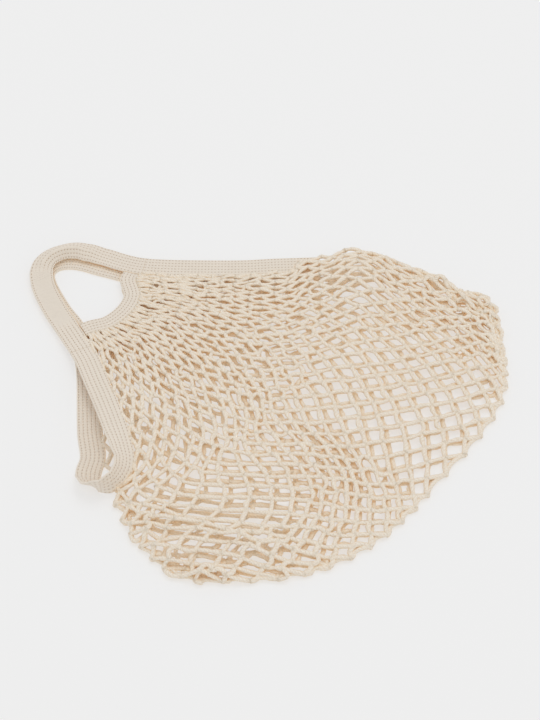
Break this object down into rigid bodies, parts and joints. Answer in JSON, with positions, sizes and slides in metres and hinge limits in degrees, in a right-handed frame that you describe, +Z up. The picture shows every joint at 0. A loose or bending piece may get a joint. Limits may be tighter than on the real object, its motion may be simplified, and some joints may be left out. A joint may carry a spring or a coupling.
{
  "type": "string shopping bag",
  "caption": "Knotted cotton net shopping bag lying flat, with tape handles that run on as bands round its mouth and narrower bands under the hand holes.",
  "frame": {"origin": "centre of the part's footprint, on the surface that the bag lies on", "axes": "+Z up from the surface; +X from the handles towards the bottom of the bag; +Y from the near side of the bag to the far side"},
  "size_m": [0.4986, 0.4374, 0.0291],
  "materials": {
    "tape": "matt ribbed cotton",
    "edge_tape": "matt ribbed cotton",
    "net": "matt twisted cotton cord"
  },
  "bodies": {
    "root": {"handle_front": "tape", "handle_back": "tape", "side_band_near": "tape", "side_band_far": "tape", "scoop_band_front": "edge_tape", "scoop_band_back": "edge_tape", "net_front": "net", "net_back": "net"}
  },
  "joints": []
}
